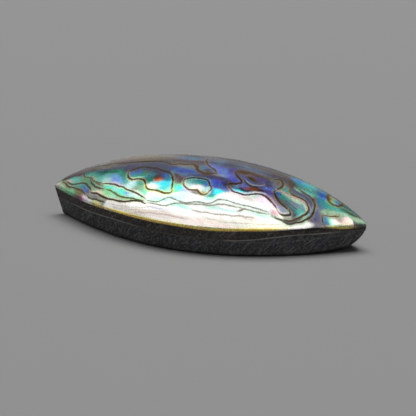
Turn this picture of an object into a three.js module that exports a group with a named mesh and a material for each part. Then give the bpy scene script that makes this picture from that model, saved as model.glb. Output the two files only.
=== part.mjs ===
// A polished abalone shell cabochon: a domed marquise of nacre glued on a black backing, ready to be set or strung.
// Millimetres, +Z up, +X along the stone. The origin is on the flat underside, below the middle of the stone.
// From the bottom up it is a charcoal backing slab, a pale glue film, a thin brown-black backing and the nacre cap.

import * as THREE from "three";
import { mergeVertices } from "three/addons/utils/BufferGeometryUtils.js";

// Driving dimensions.
const LENGTH = 40; // tip to tip, along X
const WIDTH = 17; // across the belly, along Y
const WALL_HEIGHT = 3.15; // from the underside up to the girdle, where the nacre starts
const DOME_HEIGHT = 5.65; // nacre above its rim band
const RIM_BAND = 0.2; // upright edge of the nacre at the girdle
const GLUE_THICKNESS = 0.12;

// Shape of the outline: a marquise whose belly sits a little towards +X and whose tips are drawn out.
const TIP_SHARPNESS = 1.06;
const BELLY_SKEW = 0.07;

// Shape of the dome: full over the middle and steep at the rim.
const DOME_FULLNESS = 2.1;
const DOME_EDGE = 0.8;

// What the grinding wheel left: the girdle falls towards +X, the walls lean in, and the +X end is ground up.
const GIRDLE_FALL = 0.17;
const HEEL_INSET = 1.05; // how far the -X end of the underside sits in from the tip
const WALL_LEAN = 0.03; // share of the width that the underside loses
const TOE_START = 0.6; // station where the +X end starts to rise
const TOE_RISE = 0.8; // how far it has risen at the +X tip
const TIP_RISE = 1.6; // the steep rise on top of that, at the tip itself
const TIP_STEEPNESS = 10;

// How deep the glue seam lies below the girdle: [station, depth]. It runs up near the nacre towards the +X end.
const SEAM_DEPTHS = [
  [-1, 1.15],
  [-0.75, 1.1],
  [-0.42, 0.9],
  [0, 1.15],
  [0.3, 1.15],
  [0.7, 0.45],
  [1, 0.4],
];

// Fineness of the facets.
const STATIONS = 56; // along the stone
const DOME_ROWS = 28; // across the dome

// Stations run from -1 at one tip to 1 at the other, and crowd towards the tips.
const station = (i) => -Math.cos((Math.PI * i) / STATIONS);

const halfWidth = (u) => (WIDTH / 2) * Math.pow(Math.max(0, 1 - u * u), TIP_SHARPNESS) * (1 + BELLY_SKEW * u);

// Heights along the stone, as functions of the station.
const girdle = (u) => WALL_HEIGHT - GIRDLE_FALL * u;
const glueTop = (u) => girdle(u) - seamDepth(u);
const glueBottom = (u) => glueTop(u) - GLUE_THICKNESS;

function underside(u) {
  const t = Math.max(0, (u - TOE_START) / (1 - TOE_START));
  return TOE_RISE * t * t + TIP_RISE * Math.pow(t, TIP_STEEPNESS);
}

// The seam's depth eases from each listed station to the next.
function seamDepth(u) {
  const next = Math.max(1, SEAM_DEPTHS.findIndex(([at]) => at >= u));
  const [from, depthFrom] = SEAM_DEPTHS[next - 1];
  const [to, depthTo] = SEAM_DEPTHS[next];
  return THREE.MathUtils.lerp(depthFrom, depthTo, THREE.MathUtils.smoothstep(u, from, to));
}

// A point of the leaning wall's cross-section: r runs from -1 at the front edge to 1 at the back edge.
function backingPoint(u, r, z) {
  const below = 1 - z / girdle(u);
  const x = (LENGTH / 2) * u + HEEL_INSET * below * ((1 - u) / 2);
  return new THREE.Vector3(x, r * halfWidth(u) * (1 - WALL_LEAN * below), z);
}

// A point of the nacre: its height above the girdle follows the dome both ways.
function nacrePoint(u, r, rise) {
  return new THREE.Vector3((LENGTH / 2) * u, r * halfWidth(u), girdle(u) + rise);
}

const domeProfile = (t) => Math.pow(Math.max(0, 1 - Math.pow(Math.abs(t), DOME_FULLNESS)), DOME_EDGE);
const domeRise = (u, r) => RIM_BAND + DOME_HEIGHT * domeProfile(u) * domeProfile(r);

// Adds a four-sided patch as two triangles, leaving out one that has shrunk to a line at a tip.
function addPatch(triangles, a, b, c, d) {
  for (const corners of [
    [a, b, c],
    [a, c, d],
  ]) {
    const [p, q, s] = corners;
    const shrunk = p.distanceTo(q) < 1e-5 || q.distanceTo(s) < 1e-5 || s.distanceTo(p) < 1e-5;
    if (!shrunk) triangles.push(...corners);
  }
}

// Adds a surface that spans the outline, facing up, or down when it closes the bottom of a solid.
function addSpan(triangles, surface, rows, facesUp) {
  const across = (j) => Math.sin((Math.PI / 2) * ((2 * j) / rows - 1));
  for (let i = 0; i < STATIONS; i++) {
    for (let j = 0; j < rows; j++) {
      const a = surface(station(i), across(j));
      const b = surface(station(i + 1), across(j));
      const c = surface(station(i + 1), across(j + 1));
      const d = surface(station(i), across(j + 1));
      if (facesUp) addPatch(triangles, a, b, c, d);
      else addPatch(triangles, a, d, c, b);
    }
  }
}

// Adds the wall that joins a lower surface to an upper one along both edges of the outline.
function addWall(triangles, lower, upper) {
  for (let i = 0; i < STATIONS; i++) {
    const [u, next] = [station(i), station(i + 1)];
    addPatch(triangles, lower(u, -1), lower(next, -1), upper(next, -1), upper(u, -1));
    addPatch(triangles, lower(next, 1), lower(u, 1), upper(u, 1), upper(next, 1));
  }
}

// A closed solid between two surfaces that share the outline, as a geometry whose vertices are merged.
// A patch whose corners aren't in one plane splits along the same diagonal from above and from below.
function solidBetween(lower, upper, upperRows = 1) {
  const triangles = [];
  addSpan(triangles, upper, upperRows, true);
  addSpan(triangles, lower, 1, false);
  addWall(triangles, lower, upper);
  const geometry = mergeVertices(new THREE.BufferGeometry().setFromPoints(triangles), 1e-4);
  geometry.computeVertexNormals();
  return geometry;
}

function part(name, geometry, color, roughness) {
  const mesh = new THREE.Mesh(geometry, new THREE.MeshStandardMaterial({ color, roughness, metalness: 0 }));
  mesh.name = name;
  return mesh;
}

const seatOf = (height) => (u, r) => backingPoint(u, r, height(u));

const cabochon = new THREE.Group();
cabochon.add(
  part("lower_backing", solidBetween(seatOf(underside), seatOf(glueBottom)), 0x26272a, 0.62),
  part("glue_film", solidBetween(seatOf(glueBottom), seatOf(glueTop)), 0x8f8a80, 0.5),
  part("upper_backing", solidBetween(seatOf(glueTop), seatOf(girdle)), 0x241d18, 0.55),
  part(
    "nacre_cap",
    solidBetween(
      (u, r) => nacrePoint(u, r, 0),
      (u, r) => nacrePoint(u, r, domeRise(u, r)),
      DOME_ROWS,
    ),
    0x8fc4c4,
    0.12,
  ),
);

export default cabochon;
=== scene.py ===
import math

import bpy
import numpy as np
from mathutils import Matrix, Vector


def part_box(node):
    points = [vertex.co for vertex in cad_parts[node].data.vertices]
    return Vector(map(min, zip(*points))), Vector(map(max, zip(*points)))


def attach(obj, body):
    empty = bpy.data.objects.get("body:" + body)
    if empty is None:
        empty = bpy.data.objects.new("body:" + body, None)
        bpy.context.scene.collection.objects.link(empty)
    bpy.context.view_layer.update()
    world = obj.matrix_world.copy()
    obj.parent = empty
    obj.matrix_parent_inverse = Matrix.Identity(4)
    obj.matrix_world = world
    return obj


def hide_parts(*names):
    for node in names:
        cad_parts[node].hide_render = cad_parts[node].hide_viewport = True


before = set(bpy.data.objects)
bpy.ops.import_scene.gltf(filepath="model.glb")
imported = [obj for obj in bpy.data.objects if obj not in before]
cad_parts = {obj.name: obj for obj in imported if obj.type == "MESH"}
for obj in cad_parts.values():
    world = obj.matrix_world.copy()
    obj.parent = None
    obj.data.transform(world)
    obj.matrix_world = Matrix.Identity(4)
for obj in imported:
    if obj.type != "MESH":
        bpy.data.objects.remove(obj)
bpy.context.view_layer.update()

MM = 0.001

# ---- Shape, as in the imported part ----
CAP_LOW, CAP_HIGH = (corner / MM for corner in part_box("nacre_cap"))
HALF_LENGTH = (CAP_HIGH.x - CAP_LOW.x) / 2
HALF_WIDTH = 8.5
WALL_HEIGHT = 3.15
RIM_BAND = 0.2
DOME_HEIGHT = CAP_HIGH.z - WALL_HEIGHT - RIM_BAND
GLUE_THICKNESS = 0.12
TIP_SHARPNESS = 1.06
BELLY_SKEW = 0.07
DOME_FULLNESS = 2.1
DOME_EDGE = 0.8
GIRDLE_FALL = 0.17
HEEL_INSET = 1.05
WALL_LEAN = 0.03
TOE_START = 0.6
TOE_RISE = 0.8
TIP_RISE = 1.6
TIP_STEEPNESS = 10

# How deep the glue seam lies below the girdle: (station, depth).
SEAM_DEPTHS = [(-1, 1.15), (-0.75, 1.1), (-0.42, 0.9), (0, 1.15), (0.3, 1.15), (0.7, 0.45), (1, 0.4)]


def smoothstep(low, high, value):
    """0 up to low, 1 from high on, and a smooth rise between them. It falls where low is above high."""
    t = np.clip((value - low) / (high - low), 0, 1)
    return t * t * (3 - 2 * t)


def stretch(value, start, full, fading, gone):
    """1 from full to fading, easing from 0 at start and back to 0 at gone."""
    return smoothstep(start, full, value) * (1 - smoothstep(fading, gone, value))


def ease_through(u, stops):
    """A value that eases from each (station, value) stop to the next."""
    stations, values = np.array(stops).T
    after = np.clip(np.searchsorted(stations, u), 1, len(stations) - 1)
    share = smoothstep(stations[after - 1], stations[after], u)
    return values[after - 1] + share * (values[after] - values[after - 1])


def half_width(u):
    return HALF_WIDTH * np.clip(1 - u * u, 0, None) ** TIP_SHARPNESS * (1 + BELLY_SKEW * u)


def girdle(u):
    """Height at which the nacre sits on its backing."""
    return WALL_HEIGHT - GIRDLE_FALL * u


def underside(u):
    """Height of the backing's underside, which is ground up towards the +X tip."""
    t = np.clip((u - TOE_START) / (1 - TOE_START), 0, None)
    return TOE_RISE * t**2 + TIP_RISE * t**TIP_STEEPNESS


def glue_top(u):
    return girdle(u) - ease_through(u, SEAM_DEPTHS)


def glue_bottom(u):
    return glue_top(u) - GLUE_THICKNESS


def dome_profile(t):
    return np.clip(1 - np.abs(t) ** DOME_FULLNESS, 0, None) ** DOME_EDGE


def dome_height(u, r):
    return girdle(u) + RIM_BAND + DOME_HEIGHT * dome_profile(u) * dome_profile(r)


# ---- Small tools ----
LATTICE_CELLS = 64
LATTICE_OFFSET = (0.37, 0.61)  # keeps the middle of the stone between the lattice's points
PATH_STEPS = 8  # straight steps between two points of a curve


def cloud(a, b, size, seed):
    """Smooth random values from -1 to 1 over a plane, in lumps about as wide as size."""
    lattice = np.random.default_rng(seed).uniform(-1, 1, (LATTICE_CELLS, LATTICE_CELLS))
    a, b = a / size + LATTICE_OFFSET[0], b / size + LATTICE_OFFSET[1]
    i, j = np.floor(a).astype(int), np.floor(b).astype(int)
    p, q = smoothstep(0, 1, a - i), smoothstep(0, 1, b - j)

    def corner(di, dj):
        return lattice[(i + di) % LATTICE_CELLS, (j + dj) % LATTICE_CELLS]

    near = corner(0, 0) * (1 - p) + corner(1, 0) * p
    far = corner(0, 1) * (1 - p) + corner(1, 1) * p
    return near * (1 - q) + far * q


def linear(code):
    """Linear RGB of an 0xrrggbb colour, by the sRGB curve."""
    channels = np.array([(code >> 16) & 255, (code >> 8) & 255, code & 255]) / 255
    return np.where(channels <= 0.04045, channels / 12.92, ((channels + 0.055) / 1.055) ** 2.4)


def smooth_path(points, closed=False):
    """A Catmull-Rom curve through the points."""
    p = np.array(points, float)
    if closed:
        p = np.vstack([p[-1], p, p[0], p[1]])
    else:
        p = np.vstack([2 * p[0] - p[1], p, 2 * p[-1] - p[-2]])
    t = np.linspace(0, 1, PATH_STEPS, endpoint=False)[:, None]
    pieces = []
    for a, b, c, d in zip(p, p[1:], p[2:], p[3:]):
        bend = (2 * a - 5 * b + 4 * c - d) * t**2 + (3 * b - a - 3 * c + d) * t**3
        pieces.append(0.5 * (2 * b + (c - a) * t + bend))
    pieces.append(p[-2][None])
    return np.vstack(pieces)


def path_distance(x, s, path):
    """Distance from each point to the path, and how far along it the nearest place is, from 0 to 1."""
    best = np.full(x.shape, np.inf)
    along = np.zeros(x.shape)
    lengths = np.linalg.norm(np.diff(path, axis=0), axis=1)
    starts = np.concatenate([[0], np.cumsum(lengths)])
    for (ax, ay), (bx, by), length, start in zip(path, path[1:], lengths, starts):
        if length == 0:
            continue
        t = np.clip(((x - ax) * (bx - ax) + (s - ay) * (by - ay)) / length**2, 0, 1)
        distance = np.hypot(x - ax - t * (bx - ax), s - ay - t * (by - ay))
        closer = distance < best
        best[closer] = distance[closer]
        along[closer] = (start + t[closer] * length) / starts[-1]
    return best, along


def inside_path(x, s, path):
    """True for the points inside a closed path."""
    inside = np.zeros(x.shape, bool)
    for (ax, ay), (bx, by) in zip(path, np.roll(path, -1, axis=0)):
        if ay == by:
            continue
        crosses = (ay > s) != (by > s)
        inside ^= crosses & (x < ax + (s - ay) * (bx - ax) / (by - ay))
    return inside


# ---- The pattern in the nacre, drawn on its unrolled face ----
# Colours by name.
PALETTE = {
    "ink": 0x1A130C, "soot": 0x17120E, "shade": 0x2A2430, "umber": 0x33200E, "bark": 0x55391C,
    "rust": 0xB4582C, "olive": 0x6C6A2C, "moss": 0x8F9418, "bronze": 0x7A5A18, "gold": 0x8A6E3C,
    "amber": 0xE0702A, "honey": 0xFFD030, "lemon": 0xFFF080, "straw": 0xDCD08A, "khaki": 0x96875A,
    "tan": 0x857563, "stone": 0x9A958A, "ash": 0x807A76, "smoke": 0x605C5E, "slate": 0x5C6078,
    "dusk": 0x504C6C, "pewter": 0x7E8298, "silver": 0xA0A4B8, "mauve": 0x76646E, "plum": 0x8E5670,
    "purple": 0x5E54A4, "violet": 0x5468D0, "cobalt": 0x4C6CB8, "blue": 0x3F6FB8,
    "periwinkle": 0x7890E8, "steel": 0x6E90B4, "sky": 0x6FA4DC, "lavender": 0xB4B4EC,
    "navy": 0x34527C, "denim": 0x4C749C, "azure": 0x4A96F0, "lagoon": 0x2A7E9E,
    "deep_teal": 0x124E58, "teal": 0x3A9C94, "viridian": 0x46A48A, "verdigris": 0x5A8A80,
    "sea": 0x5EB4A6, "seafoam": 0x94E8D4, "turquoise": 0x34CCD2, "emerald": 0x1E7E5C,
    "fern": 0x5A8C64, "sage": 0x8CAA8C, "jade": 0x78C898, "celadon": 0xA8CCAC, "mist": 0xA8D3CC,
    "spring": 0x78E0B0, "leaf": 0x96DC96, "mint": 0xAAF0D2, "aqua": 0x6AFADA, "cyan": 0x3CF0FF,
    # The near-white pearl colour is pale nacre with a painted highlight in it, for bright spots on the lit
    # front.
    "ice": 0xCDFAFA, "lime": 0xE6FF96, "cream": 0xEFE6C8, "pearl_and_highlight": 0xFBFAF6, "satin": 0xC8C0B8,
    "blush": 0xE8CCC4, "rose": 0xC8969C, "orchid": 0xFCDCF2,
}

# Closed cells that dark lines fence off, each with the points (x, s) round its edge.
CELLS = {
    "kidney": [
        (-8.4, -3.5), (-7.0, -2.9), (-5.0, -3.25), (-3.2, -3.9), (-2.5, -4.4), (-2.0, -5.4),
        (-1.85, -6.3), (-1.7, -6.85), (-2.3, -7.1), (-3.4, -6.75), (-4.7, -6.55), (-5.45, -5.9),
        (-5.95, -5.15), (-6.9, -4.95), (-7.9, -4.65),
    ],
    "bean": [
        (-0.65, -5.2), (0.0, -4.65), (1.2, -4.5), (2.1, -4.65), (2.5, -5.2), (2.92, -5.7),
        (2.65, -6.6), (1.9, -6.65), (1.2, -6.3), (0.3, -6.3), (-0.35, -5.85),
    ],
    "figure": [
        (4.75, -2.0), (5.3, -3.0), (5.9, -3.85), (5.6, -4.3), (4.65, -4.55), (5.0, -5.15),
        (5.9, -5.5), (7.4, -5.2), (8.7, -4.7), (10.0, -4.9), (10.8, -5.6), (11.4, -5.8),
        (12.25, -5.25), (11.7, -4.85), (10.6, -4.45), (9.85, -3.6), (10.1, -3.1), (10.5, -2.6),
        (10.5, -1.8), (9.9, -1.4), (9.1, -2.0), (7.4, -1.75), (5.8, -1.6),
    ],
    "wedge": [
        (9.9, -3.35), (11.0, -3.1), (12.6, -3.0), (13.6, -3.1), (13.95, -3.8), (13.5, -4.75),
        (12.7, -5.75), (11.9, -5.0), (10.7, -4.5),
    ],
    "notch": [(15.25, 0.7), (15.5, -0.6), (15.9, -1.05), (16.7, -0.95), (17.1, -0.4), (17.0, 0.6)],
    "toe": [(18.6, -1.2), (17.2, -1.7), (16.3, -2.6), (15.45, -3.35), (15.9, -4.3), (18.5, -2.8)],
    # The pearl cell covers the front slope where the front softbox's highlight falls: pale nacre, painted
    # near white as part of that highlight.
    "pearl_and_highlight": [
        (-10.15, -7.0), (-8.0, -7.7), (-5.2, -7.8), (-4.6, -6.75), (-2.3, -7.25), (-1.2, -6.9),
        (0.2, -6.7), (2.0, -6.95), (3.3, -6.9), (3.9, -6.3), (5.2, -5.55), (6.2, -5.5),
        (8.6, -4.75), (10.0, -4.95), (11.2, -5.85), (12.2, -6.55), (13.4, -5.65), (14.1, -4.95),
        (14.5, -5.4), (8.0, -12.0), (-6.0, -12.0), (-10.4, -8.2),
    ],
}

# Lines in the nacre: colour, colour of the border, half width, strength, and the points (x, s) along it.
LINES = [
    # The fan of lines that runs down the left end to the front edge.
    ("bark", "gold", 0.09, 0.9, [(-18.6, -0.7), (-17.5, -1.9), (-16.1, -3.1), (-14.9, -4.0),
        (-13.95, -5.0)]),
    ("umber", "celadon", 0.08, 0.85, [(-13.95, -5.0), (-12.8, -6.0), (-11.0, -6.9), (-10.6, -7.2)]),
    ("umber", "sage", 0.08, 0.85, [(-18.0, -1.1), (-16.4, -2.35), (-14.85, -3.1), (-13.8, -3.9),
        (-13.05, -4.8)]),
    ("umber", "cream", 0.10, 0.95, [(-13.3, -4.85), (-11.75, -5.9), (-10.0, -6.9), (-8.0, -7.7),
        (-6.0, -7.85), (-4.7, -8.4)]),
    ("bark", "sage", 0.07, 0.75, [(-15.1, -1.2), (-15.0, -2.1), (-13.95, -2.8), (-12.8, -3.7),
        (-11.5, -4.55)]),
    ("bark", "cream", 0.08, 0.9, [(-11.8, -4.45), (-10.0, -5.0), (-8.7, -5.65), (-7.4, -6.3),
        (-6.0, -7.0), (-4.85, -7.85)]),
    ("umber", "sage", 0.09, 0.85, [(-13.9, -3.0), (-12.95, -4.2), (-11.8, -5.1), (-11.2, -5.4)]),
    ("olive", "sage", 0.07, 0.75, [(-13.3, -3.3), (-12.3, -4.25), (-11.4, -4.95)]),
    ("olive", "leaf", 0.08, 0.85, [(-10.9, -5.45), (-9.5, -6.2), (-8.5, -6.95), (-6.6, -7.5),
        (-5.0, -8.05)]),
    # The long brown line under the ridge, and the loop above its end.
    ("umber", "ash", 0.12, 0.75, [(-18.6, -0.5), (-15.0, -0.65), (-11.9, -1.2), (-8.0, -1.65),
        (-5.0, -1.75), (-3.2, -2.35), (-0.6, -2.1)]),
    ("mauve", "ash", 0.15, 0.5, [(-4.5, -0.7), (-2.0, -1.2), (-0.3, -1.05), (0.25, -0.2), (0.2, 0.9)]),
    # The gold hook in the middle.
    ("bark", "khaki", 0.19, 0.9, [(-0.9, -1.9), (-0.1, -2.4), (0.3, -3.2), (1.3, -3.55), (2.85, -3.35)]),
    ("bark", "silver", 0.10, 0.9, [(2.85, -3.3), (2.15, -2.6), (1.15, -1.8), (0.6, -0.9), (0.2, 0.6)]),
    # Edges of the closed cells.
    ("shade", "smoke", 0.16, 0.85, [(-8.4, -3.5), (-7.0, -2.95), (-5.0, -3.3), (-3.2, -3.95),
        (-2.5, -4.5)]),
    ("umber", "celadon", 0.10, 1.0, [(-2.7, -4.1), (-2.1, -5.2), (-1.9, -6.2), (-1.7, -6.85)]),
    ("bronze", "lime", 0.10, 0.95, [(-1.6, -6.6), (-1.8, -7.0), (-2.5, -7.05), (-3.4, -6.75),
        (-4.7, -6.55), (-5.45, -5.9)]),
    ("umber", "straw", 0.10, 1.0, [(-5.2, -6.3), (-5.75, -5.35), (-6.4, -5.0), (-7.5, -4.9),
        (-8.15, -4.3), (-8.4, -3.5)]),
    ("ink", "mist", 0.09, 1.0, [(-0.75, -5.3), (-0.5, -5.0), (0.2, -4.6), (1.2, -4.5), (2.1, -4.65),
        (2.5, -5.2), (2.92, -5.7), (2.7, -6.4)]),
    ("bronze", "cream", 0.09, 0.95, [(2.75, -6.3), (2.4, -6.7), (1.9, -6.65), (1.3, -6.3), (0.3, -6.3),
        (-0.35, -5.85), (-0.7, -5.25)]),
    ("umber", "tan", 0.11, 1.0, [(4.7, -2.1), (5.0, -2.7), (5.75, -3.5), (5.95, -4.0), (5.5, -4.3),
        (4.7, -4.5), (4.8, -5.0)]),
    ("umber", "orchid", 0.09, 0.95, [(4.8, -4.9), (5.4, -5.4), (6.1, -5.5), (7.4, -5.2), (8.6, -4.7),
        (9.6, -4.75), (10.4, -5.2), (11.0, -5.75)]),
    ("ink", "cream", 0.09, 0.95, [(10.8, -5.6), (11.3, -5.8), (11.9, -5.6), (12.3, -5.2), (11.7, -4.85)]),
    ("umber", "mauve", 0.15, 0.95, [(12.2, -5.0), (11.2, -4.75), (10.35, -4.25), (9.85, -3.6),
        (9.9, -3.3)]),
    ("bark", "celadon", 0.11, 0.95, [(9.8, -3.5), (10.2, -3.0), (10.5, -2.5), (10.45, -1.7), (9.9, -1.3),
        (9.1, -1.9)]),
    ("bark", "mauve", 0.20, 0.6, [(9.3, -1.8), (7.5, -1.75), (5.8, -1.6), (4.7, -2.1)]),
    # The spiral in the figure.
    ("umber", "mauve", 0.14, 0.8, [(5.9, -3.1), (6.6, -3.75), (7.6, -3.95), (8.5, -3.6)]),
    ("silver", "purple", 0.08, 0.9, [(5.95, -2.9), (6.5, -3.4), (7.3, -3.7), (8.1, -3.5), (8.5, -3.05),
        (8.3, -2.8)]),
    ("silver", "mauve", 0.06, 0.7, [(6.0, -2.6), (6.4, -2.2), (7.1, -2.1)]),
    ("umber", "bark", 0.22, 0.85, [(6.4, -2.7), (7.0, -2.85), (7.6, -3.1)]),
    # Lines that wrap round the wedge.
    ("deep_teal", "sea", 0.07, 0.7, [(10.8, -3.8), (12.0, -4.15), (13.2, -4.4)]),
    ("deep_teal", "lagoon", 0.08, 0.7, [(10.9, -4.25), (11.9, -4.6), (12.9, -4.9)]),
    ("deep_teal", "sea", 0.05, 0.6, [(11.5, -5.0), (12.3, -5.35)]),
    ("blush", "cream", 0.10, 0.9, [(10.1, -3.2), (11.5, -3.15), (12.8, -3.0), (13.5, -3.1),
        (13.85, -3.6)]),
    ("bark", "celadon", 0.10, 0.95, [(11.4, -2.5), (11.9, -2.85), (13.2, -2.8), (13.9, -3.2),
        (14.05, -3.8), (13.4, -4.9), (12.6, -5.85), (11.3, -6.5)]),
    ("umber", "sage", 0.09, 0.95, [(11.9, -1.5), (13.0, -1.8), (13.9, -1.9), (14.5, -2.6), (14.6, -3.6),
        (14.0, -4.9), (13.0, -5.95), (11.9, -6.5), (10.4, -6.6)]),
    ("smoke", "sage", 0.08, 0.7, [(13.7, -4.8), (12.9, -5.85), (12.0, -6.4), (11.0, -6.65),
        (10.2, -6.5)]),
    ("bark", "smoke", 0.26, 0.55, [(5.5, -0.1), (9.0, 0.2), (10.4, -0.1), (11.3, -1.1), (11.5, -2.4)]),
    ("periwinkle", "violet", 0.04, 0.7, [(14.3, -4.0), (14.7, -4.4), (15.2, -4.6)]),
    ("silver", "dusk", 0.04, 0.6, [(14.15, -4.4), (14.6, -4.75), (15.0, -4.95)]),
    ("bronze", "gold", 0.13, 0.85, [(14.2, -1.5), (14.25, -2.1), (14.65, -2.8)]),
    # The right end.
    ("bark", "moss", 0.12, 0.85, [(15.25, 0.9), (15.5, -0.6), (15.9, -1.05), (16.7, -0.95), (17.1, -0.4),
        (17.0, 0.5)]),
    ("bronze", "tan", 0.07, 0.8, [(17.2, -1.85), (16.4, -2.6), (15.5, -3.25)]),
    ("umber", "tan", 0.08, 0.9, [(15.5, -3.25), (15.6, -3.8), (16.0, -4.1)]),
    ("umber", "mauve", 0.10, 0.6, [(19.2, -0.2), (18.2, -0.7), (17.3, -0.9)]),
    # Thin grey lines over the pearly front.
    ("ash", "mist", 0.06, 0.75, [(-4.8, -8.0), (-3.0, -8.2), (-1.7, -7.6), (0.0, -8.1), (1.5, -7.8),
        (3.1, -7.75), (4.5, -6.95), (7.0, -6.7), (10.0, -6.3)]),
    ("ash", "celadon", 0.08, 0.6, [(-4.6, -8.35), (-2.0, -8.65), (-0.8, -8.35), (1.2, -8.15),
        (3.3, -7.95), (4.9, -7.4), (8.0, -7.0), (10.0, -6.55)]),
    ("stone", "satin", 0.08, 0.5, [(1.3, -8.85), (3.0, -8.9), (6.0, -8.45), (8.5, -7.7)]),
    ("smoke", "satin", 0.14, 0.8, [(6.7, -7.75), (7.0, -7.4), (7.3, -7.1)]),
    ("satin", "satin", 0.10, 0.3, [(-9.5, -8.0), (-8.0, -8.5), (-5.0, -9.2), (-1.5, -9.5)]),
    ("rose", "satin", 0.08, 0.35, [(-6.0, -9.3), (-3.0, -9.7), (1.0, -10.0)]),
    ("satin", "satin", 0.08, 0.3, [(-10.0, -7.6), (-8.0, -8.2), (-6.0, -8.7), (-3.5, -8.95)]),
    ("satin", "mint", 0.07, 0.3, [(3.0, -9.6), (6.0, -9.3), (9.0, -8.3), (12.0, -6.9)]),
]

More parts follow.
